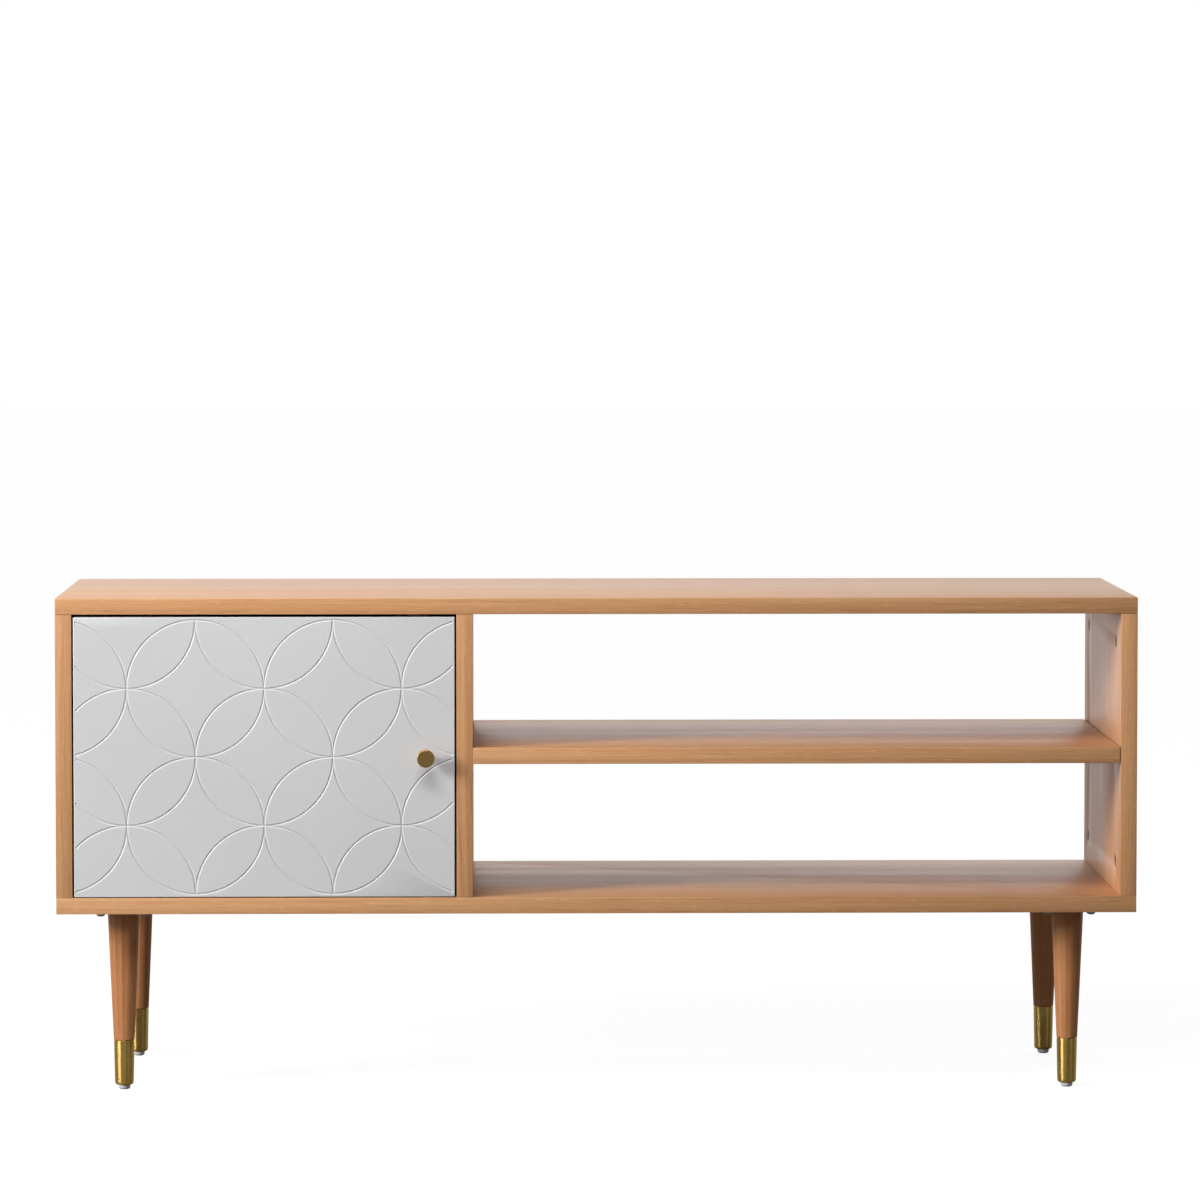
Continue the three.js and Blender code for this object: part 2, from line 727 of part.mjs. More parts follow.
// ---- Catch ----
function buildCatch() {
  const x = dividerX - catchFromDivider;
  const strikeTopZ = doorZ + doorHeight - strikeTopGap;
  const strikeBackY = doorBackY + seat + strikeThickness;
  const catchY = strikeBackY + 2 * seat;
  const catchTopZ = ceilingZ - seat;
  place('catch_strike', 'steel',
    box([x - strikeWidth / 2, doorBackY + seat, strikeTopZ - strikeHeight],
      [x + strikeWidth / 2, strikeBackY, strikeTopZ]));
  const ears = box([x - catchWidth / 2, catchY + 4, catchTopZ - catchEarThickness],
    [x + catchWidth / 2, catchY + catchDepth, catchTopZ]);
  const block = box([x - catchWidth / 4, catchY, catchTopZ - catchHeight],
    [x + catchWidth / 4, catchY + catchDepth, catchTopZ]);
  place('magnetic_catch', 'plastic', ears.add(block));
}

buildCarcass();
buildCams();
buildLegs();
buildDoor();
buildHinges();
buildCatch();

export default stand;
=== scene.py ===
"""The looks of a low TV stand: oak-foil boards, a painted door with routed circles, brass feet.

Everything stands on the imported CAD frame: sizes and places are read from its nodes.
Metres, +X right, the front faces -Y, +Z up.
"""

import json
import math

import bmesh
import bpy
from mathutils import Matrix, Vector


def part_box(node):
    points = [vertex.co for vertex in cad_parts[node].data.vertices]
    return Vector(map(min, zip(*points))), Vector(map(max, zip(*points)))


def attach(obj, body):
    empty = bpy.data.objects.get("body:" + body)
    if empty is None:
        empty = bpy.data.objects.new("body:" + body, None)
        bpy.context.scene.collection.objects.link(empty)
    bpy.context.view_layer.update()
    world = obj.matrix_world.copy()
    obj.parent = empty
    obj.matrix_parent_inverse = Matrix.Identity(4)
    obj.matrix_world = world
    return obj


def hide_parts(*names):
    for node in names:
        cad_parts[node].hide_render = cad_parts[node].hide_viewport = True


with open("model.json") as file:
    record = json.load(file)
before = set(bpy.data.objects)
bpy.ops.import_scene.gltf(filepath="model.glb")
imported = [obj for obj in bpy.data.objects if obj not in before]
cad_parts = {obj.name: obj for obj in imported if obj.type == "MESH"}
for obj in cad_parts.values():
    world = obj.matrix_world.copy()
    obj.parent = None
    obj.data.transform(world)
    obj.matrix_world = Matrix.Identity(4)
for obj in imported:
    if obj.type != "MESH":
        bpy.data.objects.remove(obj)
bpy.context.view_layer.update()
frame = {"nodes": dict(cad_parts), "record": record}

MM = 0.001

PANELS = {
    "top_panel": 0,
    "bottom_panel": 0,
    "open_shelf": 0,
    "left_side_panel": 2,
    "right_side_panel": 2,
    "centre_divider": 2,
}
LEGS = [f"{row}_{side}" for row in ("front", "rear") for side in ("left", "right")]
LEVELS = ("lower", "upper")


# ---- Node helpers ----
def tone(red, green, blue):
    """An sRGB colour, 0 to 255, as linear RGBA."""
    linear = []
    for value in (red, green, blue):
        share = value / 255
        linear.append(share / 12.92 if share <= 0.04045 else ((share + 0.055) / 1.055) ** 2.4)
    return (*linear, 1.0)


def add(tree, kind, inputs=None, **settings):
    """A new node, with its inputs set to values or linked to sockets."""
    item = tree.nodes.new(kind)
    for key, value in settings.items():
        setattr(item, key, value)
    for key, value in (inputs or {}).items():
        if isinstance(value, bpy.types.NodeSocket):
            tree.links.new(value, item.inputs[key])
        else:
            item.inputs[key].default_value = value
    return item


def stretched(tree, coords, scale, shift=(0, 0, 0)):
    mapping = add(tree, "ShaderNodeMapping", {"Vector": coords, "Location": shift, "Scale": scale})
    return mapping.outputs["Vector"]


def noise(tree, vector, detail=2.0, roughness=0.5, distortion=0.0):
    settings = {"Vector": vector, "Scale": 1.0, "Detail": detail, "Roughness": roughness,
                "Distortion": distortion}
    return add(tree, "ShaderNodeTexNoise", settings).outputs["Fac"]


def ramp(tree, factor, stops):
    """A colour ramp from [position, grey or colour] stops."""
    item = add(tree, "ShaderNodeValToRGB", {"Fac": factor})
    elements = item.color_ramp.elements
    while len(elements) < len(stops):
        elements.new(0.5)
    for element, (position, colour) in zip(elements, stops):
        element.position = position
        element.color = colour if isinstance(colour, tuple) else (colour, colour, colour, 1.0)
    return item.outputs["Color"]


def mix(tree, factor, first, second, blend="MIX"):
    item = add(tree, "ShaderNodeMix", data_type="RGBA", blend_type=blend)
    for socket, value in zip((item.inputs[0], item.inputs[6], item.inputs[7]), (factor, first, second)):
        if isinstance(value, bpy.types.NodeSocket):
            tree.links.new(value, socket)
        else:
            socket.default_value = value
    return item.outputs[2]


def maths(tree, operation, first, second):
    return add(tree, "ShaderNodeMath", {0: first, 1: second}, operation=operation).outputs[0]


def bump(tree, height, distance, strength=1.0):
    settings = {"Height": height, "Distance": distance, "Strength": strength}
    return add(tree, "ShaderNodeBump", settings).outputs["Normal"]


def new_material(name):
    material = bpy.data.materials.new(name)
    material.use_nodes = True
    return material, material.node_tree, material.node_tree.nodes["Principled BSDF"]


def link(tree, shader, **sockets):
    for name, socket in sockets.items():
        tree.links.new(socket, shader.inputs[name.replace("_", " ")])


# ---- Materials ----
def wood(name, dark, middle, light, pore, ray, figure, roughness, sheen):
    """Straight-grained wood on the 'grain' map: U runs along the grain, V across, in metres."""
    material, tree, shader = new_material(name)
    coords = add(tree, "ShaderNodeUVMap", uv_map="grain").outputs["UV"]

    # Growth rings cut along their length: long bands, bent here and there into flames.
    wander = noise(tree, stretched(tree, coords, (1.5, 7, 1)), detail=2, roughness=0.4)
    wander = add(tree, "ShaderNodeVectorMath", {0: wander, 1: (0.0, figure, 0.0)}, operation="MULTIPLY")
    bent = add(tree, "ShaderNodeVectorMath", {0: coords, 1: wander.outputs[0]}, operation="ADD").outputs[0]
    bands = noise(tree, stretched(tree, bent, (1.3, 190, 1)), detail=4, roughness=0.68)
    broad = noise(tree, stretched(tree, coords, (1.1, 22, 1), (3, 7, 0)), detail=1)
    colour = ramp(tree, bands, [(0.3, dark), (0.5, middle), (0.72, light)])
    colour = mix(tree, 0.4, colour, ramp(tree, broad, [(0.3, middle), (0.7, light)]))

    # Pores: short dark dashes that gather in the early wood. Rays: short pale flecks.
    dashes = noise(tree, stretched(tree, bent, (16, 1500, 1), (11, 5, 0)), detail=1)
    gather = ramp(tree, bands, [(0.35, 1.0), (0.6, 0.35)])
    pores = maths(tree, "MULTIPLY", ramp(tree, dashes, [(0.56, 0.0), (0.74, 0.6)]), gather)
    flecks = noise(tree, stretched(tree, coords, (70, 900, 1), (29, 13, 0)), detail=0)
    rays = ramp(tree, flecks, [(0.64, 0.0), (0.76, 0.35)])
    fine = noise(tree, stretched(tree, coords, (9, 2000, 1), (1, 2, 0)), detail=2)
    colour = mix(tree, ramp(tree, fine, [(0.4, 0.0), (0.75, 0.42)]), colour, dark)
    colour = mix(tree, rays, colour, ray)
    colour = mix(tree, pores, colour, pore)

    # Rounded edges: a painted highlight, the bevel faces painted paler in patches.
    painted_edge_highlight = add(tree, "ShaderNodeAttribute", attribute_name="edge").outputs["Fac"]
    patchy = noise(tree, stretched(tree, coords, (40, 300, 1)), detail=2)
    painted_edge_highlight = maths(tree, "MULTIPLY", painted_edge_highlight, ramp(tree, patchy, [(0.3, 0.25), (0.7, 0.8)]))
    colour = mix(tree, painted_edge_highlight, colour, light)

    satin = ramp(tree, broad, [(0.3, roughness - 0.04), (0.7, roughness + 0.05)])
    satin = mix(tree, pores, satin, (0.7, 0.7, 0.7, 1.0))
    height = maths(tree, "SUBTRACT", maths(tree, "MULTIPLY", fine, 0.35), pores)
    link(tree, shader, Base_Color=colour, Roughness=satin, Normal=bump(tree, height, 0.00012, 0.6))
    shader.inputs["Specular IOR Level"].default_value = sheen
    return material


def paint(name):
    """Sprayed satin paint: a faint orange peel and a slight drift in tone and gloss."""
    material, tree, shader = new_material(name)
    coords = add(tree, "ShaderNodeTexCoord").outputs["Object"]
    drift = noise(tree, stretched(tree, coords, (5, 5, 5)), detail=3)
    colour = ramp(tree, drift, [(0.3, tone(204, 204, 205)), (0.7, tone(209, 208, 208))])
    specks = noise(tree, stretched(tree, coords, (900, 900, 900)), detail=1)
    colour = mix(tree, ramp(tree, specks, [(0.68, 0.0), (0.8, 0.25)]), colour, tone(184, 185, 184))
    # Rounded edges: a painted highlight, the bevel faces painted paler.
    painted_edge_highlight = add(tree, "ShaderNodeAttribute", attribute_name="edge").outputs["Fac"]
    colour = mix(tree, maths(tree, "MULTIPLY", painted_edge_highlight, 0.35), colour, tone(228, 228, 226))
    gloss = ramp(tree, drift, [(0.3, 0.36), (0.7, 0.44)])
    peel = noise(tree, stretched(tree, coords, (420, 420, 420), (2, 4, 6)), detail=2)
    link(tree, shader, Base_Color=colour, Roughness=gloss, Normal=bump(tree, peel, 0.00004, 0.35))
    return material


def metal(name, base, stain, roughness, lines, turned=False, drawn=0.0):
    """Plated or polished metal with fine tool lines, faint stains and a painted highlight on the rounded
    edges.
    """
    material, tree, shader = new_material(name)
    if turned:
        # Tool lines run round the axis, so highlights spread along the profile.
        coords = add(tree, "ShaderNodeUVMap", uv_map="grain").outputs["UV"]
        brushed = noise(tree, stretched(tree, coords, (4200, 25, 1)), detail=2)
        along = add(tree, "ShaderNodeTangent", direction_type="UV_MAP", uv_map="grain")
        link(tree, shader, Tangent=along.outputs["Tangent"])
        shader.inputs["Anisotropic"].default_value = drawn
    else:
        coords = add(tree, "ShaderNodeTexCoord").outputs["Object"]
        brushed = noise(tree, stretched(tree, coords, (300, 300, 2600)), detail=2)
    cloud = noise(tree, stretched(tree, coords, (60, 60, 60), (5, 1, 3)), detail=4, roughness=0.65)
    colour = ramp(tree, cloud, [(0.38, base), (0.75, stain)])
    # Rounded edges: a painted highlight, the bevel faces painted brighter.
    painted_edge_highlight = add(tree, "ShaderNodeAttribute", attribute_name="edge").outputs["Fac"]
    pale = tuple(min(1.0, channel * 1.25 + 0.05) for channel in base[:3]) + (1.0,)
    colour = mix(tree, maths(tree, "MULTIPLY", painted_edge_highlight, 0.6), colour, pale)
    rough = ramp(tree, cloud, [(0.35, roughness), (0.8, roughness + 0.14)])
    rough = mix(tree, ramp(tree, brushed, [(0.4, 0.0), (0.7, 0.4)]), rough, (0.5, 0.5, 0.5, 1.0))
    link(tree, shader, Base_Color=colour, Roughness=rough, Normal=bump(tree, brushed, lines, 0.5))
    shader.inputs["Metallic"].default_value = 1.0
    return material


def moulded(name, base, shade, roughness, grain):
    """Moulded plastic or pressed board: a fine texture with soft mottling."""
    material, tree, shader = new_material(name)
    coords = add(tree, "ShaderNodeTexCoord").outputs["Object"]
    cloud = noise(tree, stretched(tree, coords, (35, 35, 35)), detail=5, roughness=0.6)
    fine = noise(tree, stretched(tree, coords, (grain, grain, grain), (3, 1, 2)), detail=2)
    colour = ramp(tree, cloud, [(0.35, base), (0.7, shade)])
    colour = mix(tree, ramp(tree, fine, [(0.45, 0.0), (0.75, 0.4)]), colour, shade)
    rough = ramp(tree, fine, [(0.3, roughness - 0.08), (0.7, roughness + 0.08)])
    link(tree, shader, Base_Color=colour, Roughness=rough, Normal=bump(tree, fine, 0.00008, 0.5))
    return material


OAK = wood("oak_foil", tone(178, 121, 76), tone(200, 146, 99), tone(215, 166, 118),
           tone(120, 74, 43), tone(227, 184, 140), 0.03, 0.4, 0.5)
LEG_WOOD = wood("leg_wood", tone(138, 82, 46), tone(188, 124, 76), tone(221, 160, 108),
                tone(84, 46, 26), tone(216, 160, 112), 0.004, 0.5, 0.3)
PAINT = paint("grey_paint")
BRASS = metal("brass", tone(238, 203, 118), tone(220, 176, 92), 0.24, 0.000004, turned=True, drawn=0.85)
KNOB_BRASS = metal("satin_brass", tone(212, 176, 112), tone(190, 150, 88), 0.3, 0.000004, turned=True)
NICKEL = metal("nickel_plate", tone(178, 176, 172), tone(150, 148, 144), 0.3, 0.00002)
# Cam discs: dark zinc, darkened further with painted shade so the cam holes read as shaded recesses.
ZINC_WITH_HOLE_SHADE = metal("zinc_with_painted_hole_shade", tone(66, 60, 55), tone(44, 40, 37), 0.45, 0.00003)
GLIDE = moulded("glide_plastic", tone(226, 226, 230), tone(214, 214, 219), 0.5, 900)
CATCH = moulded("catch_plastic", tone(196, 186, 168), tone(178, 166, 148), 0.45, 1200)
HARDBOARD = moulded("hardboard", tone(181, 146, 112), tone(171, 135, 102), 0.7, 1500)


# ---- Mesh helpers ----
def add_piece(name, mesh, material, body, replaces=(), at=(0, 0, 0)):
    """Puts a mesh in the scene as a piece that rides on a CAD body."""
    piece = bpy.data.objects.new(name, mesh)
    piece.location = at
    bpy.context.scene.collection.objects.link(piece)
    if not mesh.materials:
        mesh.materials.append(material)
    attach(piece, body)
    if replaces:
        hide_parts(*replaces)
    return piece


def finished(name, bm, sharp=30):
    """The mesh of a bmesh, smooth-shaded except across edges sharper than an angle."""
    bmesh.ops.recalc_face_normals(bm, faces=bm.faces)
    mesh = bpy.data.meshes.new(name)
    bm.to_mesh(mesh)
    bm.free()
    mesh.polygons.foreach_set("use_smooth", [True] * len(mesh.polygons))
    mesh.set_sharp_from_angle(angle=math.radians(sharp))
    return mesh


def soften(bm, width, sharp=40, segments=2):
    """Rounds the sharp edges and marks the rounded faces in the 'edge' attribute."""
    edges = [edge for edge in bm.edges
             if len(edge.link_faces) == 2 and edge.calc_face_angle() > math.radians(sharp)]
    result = bmesh.ops.bevel(bm, geom=edges, offset=width, segments=segments, profile=0.5,
                             affect="EDGES", clamp_overlap=True)
    mark_edges(bm, result["faces"])


def mark_edges(bm, rounded):
    layer = bm.loops.layers.color.new("edge")
    rounded = set(rounded)
    for face in bm.faces:
        value = 1.0 if face in rounded else 0.0
        for loop in face.loops:
            loop[layer] = (value, value, value, 1.0)


def lay_grain(bm, along, order):
    """A UV map in metres: U along the grain, V across it. order shifts each board's figure."""
    layer = bm.loops.layers.uv.new("grain")
    for face in bm.faces:
        facing = max(range(3), key=lambda axis: abs(face.normal[axis]))
        flat = [axis for axis in range(3) if axis != facing]
        u_axis = along if along in flat else 1
        v_axis = flat[0] if flat[1] == u_axis else flat[1]
        for loop in face.loops:
            place = loop.vert.co
            shift = 0.31 * facing + 0.83 * order
            loop[layer].uv = (place[u_axis] + 1.7 * order, place[v_axis] + shift)


def copied(node):
    """A clean bmesh of a CAD node: corners merged, flat triangles joined."""
    bm = bmesh.new()
    bm.from_mesh(frame["nodes"][node].data)
    bmesh.ops.remove_doubles(bm, verts=bm.verts, dist=1e-6)
    bmesh.ops.dissolve_limit(bm, angle_limit=math.radians(0.5), verts=bm.verts, edges=bm.edges)
    return bm


def body_of(node):
    return next(body for body, nodes in frame["record"]["behaviour"]["bodies"].items() if node in nodes)


def turned_mesh(name, profile, axis="z", segments=64, sharp=30, width=0.0):
    """A turned solid from [radius, height] points in mm that start and end on the axis."""
    bm = bmesh.new()
    grain = bm.loops.layers.uv.new("grain")
    rings = []
    for radius, height in profile:
        if radius == 0:
            rings.append([bm.verts.new((0, 0, height * MM))] * segments)
            continue
        ring = []
        for i in range(segments):
            angle = 2 * math.pi * i / segments
            ring.append(bm.verts.new((radius * MM * math.cos(angle), radius * MM * math.sin(angle),
                                      height * MM)))
        rings.append(ring)
    # One width round the axis for the whole profile, so that the grain runs on without a break.
    around = 2 * math.pi * max(radius for radius, _ in profile) * MM / segments
    run = 0.0
    for j in range(len(profile) - 1):
        (r0, h0), (r1, h1) = profile[j], profile[j + 1]
        step = math.hypot(r1 - r0, h1 - h0) * MM
        for i in range(segments):
            k = (i + 1) % segments
            corners = [(rings[j][i], run, i), (rings[j][k], run, i + 1),
                       (rings[j + 1][k], run + step, i + 1), (rings[j + 1][i], run + step, i)]
            unique = []
            for corner in corners:
                if corner[0] not in [other[0] for other in unique]:
                    unique.append(corner)
            face = bm.faces.new([corner[0] for corner in unique])
            for loop, (_, along, step_round) in zip(face.loops, unique):
                loop[grain].uv = (along, step_round * around)
        run += step
    if width:
        soften(bm, width * MM, sharp=50)
    else:
        mark_edges(bm, [])
    if axis == "y":
        bmesh.ops.transform(bm, matrix=Matrix.Rotation(math.radians(90), 4, "X"), verts=bm.verts)
    if axis == "x":
        bmesh.ops.transform(bm, matrix=Matrix.Rotation(math.radians(90), 4, "Y"), verts=bm.verts)
    return finished(name, bm, sharp)


def cut(name, target, cutters):
    """The target mesh less every cutter mesh, as a new mesh."""
    base = bpy.data.objects.new(name, target)
    bpy.context.scene.collection.objects.link(base)
    helpers = []
    for i, cutter in enumerate(cutters):
        helper = bpy.data.objects.new(f"{name}_cutter_{i}", cutter)
        bpy.context.scene.collection.objects.link(helper)
        helpers.append(helper)
        modifier = base.modifiers.new(f"cut_{i}", "BOOLEAN")
        modifier.operation = "DIFFERENCE"
        modifier.solver = "MANIFOLD"
        modifier.object = helper
    graph = bpy.context.evaluated_depsgraph_get()
    result = bpy.data.meshes.new_from_object(base.evaluated_get(graph))
    result.materials.clear()
    for helper in [*helpers, base]:
        bpy.data.objects.remove(helper)
    return result


# ---- Boards ----
def build_boards():
    divider_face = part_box("centre_divider")[1].x
    for order, (node, along) in enumerate(PANELS.items()):
        bm = copied(node)
        if node == "open_shelf":
            # The loose shelf is pushed home against the divider.
            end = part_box(node)[0].x
            for vert in bm.verts:
                if abs(vert.co.x - end) < 0.1 * MM:
                    vert.co.x = divider_face + 0.1 * MM
        soften(bm, 0.7 * MM)
        lay_grain(bm, along, order)
        add_piece(f"{node}_board", finished(node, bm), OAK, "carcass", [node])
    bm = copied("cupboard_back_panel")
    soften(bm, 0.4 * MM)
    add_piece("cupboard_back_board", finished("back", bm), HARDBOARD, "carcass",
              ["cupboard_back_panel"])


# ---- Legs ----
def build_legs():
    leg_low, leg_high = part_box("front_left_leg")
    ferrule_low, ferrule_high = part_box("front_left_ferrule")
    glide_low, glide_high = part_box("front_left_glide")
    plate_low, plate_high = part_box("front_left_leg_plate")
    top = (leg_high.x - leg_low.x) / 2 / MM
    joint = (ferrule_high.x - ferrule_low.x) / 2 / MM
    pad = (glide_high.x - glide_low.x) / 2 / MM
    foot_z = ferrule_low.z / MM
    joint_z = ferrule_high.z / MM
    top_z = leg_high.z / MM
    tenon_z = leg_low.z / MM
    foot = joint - 1.15
    wall = 1.0
    edge = 3.4

    leg_profile = [(0, tenon_z), (foot - wall - 0.5, tenon_z), (joint - wall - 0.3, joint_z + 0.3),
                   (joint - 0.5, joint_z + 0.3), (joint, joint_z + 0.8)]
    steps = 6
    for i in range(1, steps + 1):
        share = i / steps
        leg_profile.append((joint + (top - joint) * share, joint_z + (top_z - 1.4 - joint_z) * share))
    leg_profile += [(top - 0.4, top_z - 0.4), (top - 1.4, top_z), (0, top_z)]

    corner = []
    for i in range(9):
        angle = math.radians(-90 + 90 * i / 8)
        corner.append((foot - edge + edge * math.cos(angle), foot_z + edge + edge * math.sin(angle)))
    ferrule_profile = [(0, foot_z), *corner, (joint - 0.15, joint_z - 0.3), (joint - 0.45, joint_z),
                       (joint - wall, joint_z), (foot - wall, foot_z + edge), (0, foot_z + wall + 0.1)]

    stem = 2.0
    dome = [(0, 0), (pad * 0.55, 0.02)]
    for i in range(1, 7):
        angle = math.radians(15 * i)
        dome.append((pad * (0.55 + 0.45 * math.sin(angle)), 3.0 * (1 - math.cos(angle))))
    glide_top = foot_z - 0.3
    dome += [(pad, glide_top - 0.5), (pad - 0.4, glide_top), (0, glide_top)]

    meshes = {
        "leg": (turned_mesh("leg", leg_profile), LEG_WOOD, "leg_wood"),
        "ferrule": (turned_mesh("ferrule", ferrule_profile), BRASS, "brass"),
        "glide": (turned_mesh("glide", dome), GLIDE, "glide"),
    }
    for order, leg in enumerate(LEGS):
        low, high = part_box(f"{leg}_leg")
        at = ((low.x + high.x) / 2, (low.y + high.y) / 2, 0)
        for part, (mesh, material, slot) in meshes.items():
            piece = add_piece(f"{leg}_{part}_turned", mesh, material, "carcass",
                              [f"{leg}_{part}"], at)
            piece.rotation_euler.z = math.radians(73 * order)
        for part in ("leg_plate", "hanger_bolt"):
            bm = copied(f"{leg}_{part}")
            soften(bm, 0.35 * MM)
            add_piece(f"{leg}_{part}_plated", finished(part, bm), NICKEL, "carcass",
                      [f"{leg}_{part}"])
    return plate_low.z


# ---- Screws ----
def screw_mesh(name, head, head_height, shank, length):
    """A pan-head screw with a cross recess, head up along +Z, its seat at the origin. mm."""
    dome = [(0, -length), (shank * 0.35, -length), (shank / 2, -length + shank), (shank / 2, 0)]
    dome += [(head / 2, 0), (head / 2, head_height * 0.35)]
    for i in range(1, 6):
        angle = math.radians(15 * i)
        dome.append((head / 2 * math.cos(angle), head_height * (0.35 + 0.65 * math.sin(angle))))
    dome.append((0, head_height))
    body = turned_mesh(name, dome, segments=32)
    cutters = []
    for turn in (0, 90):
        bm = bmesh.new()
        bmesh.ops.create_cube(bm, size=1)
        scale = Matrix.Diagonal((head * 0.56 * MM, head * 0.13 * MM, head_height * 1.2 * MM, 1))
        lift = Matrix.Translation((0, 0, head_height * 1.15 * MM))
        bmesh.ops.transform(bm, matrix=Matrix.Rotation(math.radians(turn), 4, "Z") @ lift @ scale,
                            verts=bm.verts)
        cutters.append(finished(f"{name}_cross_{turn}", bm))
    mesh = cut(name, body, cutters)
    mesh.set_sharp_from_angle(angle=math.radians(35))
    return mesh


AIM = {
    "-z": Matrix.Rotation(math.pi, 4, "X"),
    "+y": Matrix.Rotation(-math.pi / 2, 4, "X"),
    "+x": Matrix.Rotation(math.pi / 2, 4, "Y"),
}


def add_screw(name, mesh, at, aim, body, turn, replaces=()):
    piece = bpy.data.objects.new(name, mesh)
    piece.matrix_world = Matrix.Translation(at) @ AIM[aim] @ Matrix.Rotation(math.radians(turn), 4, "Z")
    bpy.context.scene.collection.objects.link(piece)
    if not mesh.materials:
        mesh.materials.append(NICKEL)
    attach(piece, body)
    if replaces:
        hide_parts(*replaces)


def build_screws(plate_z):
    plate_screw = screw_mesh("leg_plate_screw", 9.6, 3.6, 4.4, 14)
    spacing = 24 * MM
    for order, leg in enumerate(LEGS):
        low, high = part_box(f"{leg}_leg_plate")
        x, y = (low.x + high.x) / 2, (low.y + high.y) / 2
        for i, (dx, dy) in enumerate(((-1, -1), (1, -1), (-1, 1), (1, 1))):
            at = (x + dx * spacing, y + dy * spacing, plate_z - 0.05 * MM)
            add_screw(f"{leg}_plate_screw_{i}", plate_screw, at, "-z", "carcass", 37 * i + 23 * order)

    cup_screw = screw_mesh("cup_screw", 6.5, 1.8, 3, 11)
    side_screw = screw_mesh("side_screw", 7.2, 2, 4, 12)
    for level in LEVELS:
        for i, end in enumerate(LEVELS):
            node = f"{level}_hinge_cup_screw_{end}"
            low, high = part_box(node)
            at = ((low.x + high.x) / 2, high.y - 1.8 * MM, (low.z + high.z) / 2)
            add_screw(f"{node}_cross", cup_screw, at, "+y", "door", 20 + 50 * i, [node])
            node = f"{level}_hinge_plate_screw_{end}"
            low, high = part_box(node)
            at = (high.x - 2 * MM, (low.y + high.y) / 2, (low.z + high.z) / 2)
            add_screw(f"{node}_cross", side_screw, at, "+x", "carcass", 10 + 35 * i, [node])

    low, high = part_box("knob_screw")
    knob_screw = screw_mesh("knob_screw", 8, 2.4, 4, (high.y - low.y) / MM - 2.4)
    at = ((low.x + high.x) / 2, high.y - 2.4 * MM, (low.z + high.z) / 2)
    add_screw("knob_screw_cross", knob_screw, at, "+y", "door", 15, ["knob_screw"])

    low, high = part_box("catch_strike")
    at = ((low.x + high.x) / 2, high.y, (low.z + high.z) / 2 - 3 * MM)
    strike_screw = screw_mesh("strike_screw", 5.5, 0.4, 2.6, 9)
    add_screw("catch_strike_screw", strike_screw, at, "+y", "door", 40)


# ---- Door ----
def box_mesh(name, low, high, width=0.0, segments=3):
    bm = bmesh.new()
    bmesh.ops.create_cube(bm, size=1)
    middle = [(a + b) / 2 for a, b in zip(low, high)]
    size = [b - a for a, b in zip(low, high)]
    matrix = Matrix.Translation(middle) @ Matrix.Diagonal((*size, 1))
    bmesh.ops.transform(bm, matrix=matrix, verts=bm.verts)
    if width:
        soften(bm, width, segments=segments)
    else:
        mark_edges(bm, [])
    return finished(name, bm)


GROOVE_HALF = 1.35
GROOVE_DEPTH = 0.8
# Half of the router bit's outline: distance from its axis and depth, from the lip to the tip.
BIT = [(GROOVE_HALF + 0.45, -0.25), (GROOVE_HALF, 0.0), (1.12, 0.13), (0.9, 0.34), (0.65, 0.56),
       (0.34, 0.74), (0.0, GROOVE_DEPTH)]


def plunge(name, at):
    """The hollow that the bit leaves where a groove ends."""
    bm = bmesh.new()
    segments = 20
    rings = []
    for radius, depth in [(0.0, BIT[0][1]), *BIT]:
        if radius == 0:
            rings.append([bm.verts.new((at[0], at[1] + depth * MM, at[2]))] * segments)
            continue
        ring = []
        for i in range(segments):
            angle = 2 * math.pi * i / segments
            ring.append(bm.verts.new((at[0] + radius * MM * math.cos(angle), at[1] + depth * MM,
                                      at[2] + radius * MM * math.sin(angle))))
        rings.append(ring)
    for j in range(len(rings) - 1):
        for i in range(segments):
            k = (i + 1) % segments
            corners = dict.fromkeys([rings[j][i], rings[j][k], rings[j + 1][k], rings[j + 1][i]])
            bm.faces.new(list(corners))
    return finished(name, bm)


def groove(name, centre, radius, start, end):
    """A groove round part of a circle in the door's face, angles in radians."""
    whole = end - start > 2 * math.pi - 1e-6
    steps = max(4, round((end - start) * 20))
    section = [(offset, depth) for offset, depth in BIT]
    section += [(-offset, depth) for offset, depth in reversed(BIT[:-1])]
    bm = bmesh.new()
    rings = []
    for i in range(steps if whole else steps + 1):
        angle = start + (end - start) * i / steps
        ring = []
        for offset, depth in section:
            reach = radius + offset * MM
            ring.append(bm.verts.new((centre[0] + reach * math.cos(angle), centre[1] + depth * MM,
                                      centre[2] + reach * math.sin(angle))))
        rings.append(ring)
    count = len(section)
    for i in range(len(rings) if whole else len(rings) - 1):
        following = rings[(i + 1) % len(rings)]
        for j in range(count):
            k = (j + 1) % count
            bm.faces.new((rings[i][j], rings[i][k], following[k], following[j]))
    if not whole:
        bm.faces.new(rings[0])
        bm.faces.new(list(reversed(rings[-1])))
    return finished(name, bm)


def arcs_inside(centre, radius, half_width, half_height):
    """The parts of a circle that lie in the pattern's field, as pairs of angles."""
    cuts = []
    for limit in (-half_width, half_width):
        share = (limit - centre[0]) / radius
        if abs(share) < 1:
            cuts += [math.acos(share), -math.acos(share)]
    for limit in (-half_height, half_height):
        share = (limit - centre[1]) / radius
        if abs(share) < 1 - 1e-9:
            cuts += [math.asin(share), math.pi - math.asin(share)]
    cuts = sorted(angle % (2 * math.pi) for angle in cuts)
    if not cuts:
        inside = abs(centre[0]) <= half_width and abs(centre[1]) <= half_height
        return [(0.0, 2 * math.pi)] if inside else []
    arcs = []
    for first, second in zip(cuts, [*cuts[1:], cuts[0] + 2 * math.pi]):
        middle = (first + second) / 2
        x = centre[0] + radius * math.cos(middle)
        z = centre[1] + radius * math.sin(middle)
        if abs(x) <= half_width and abs(z) <= half_height and second - first > 0.03:
            arcs.append((first, second))
    return arcs


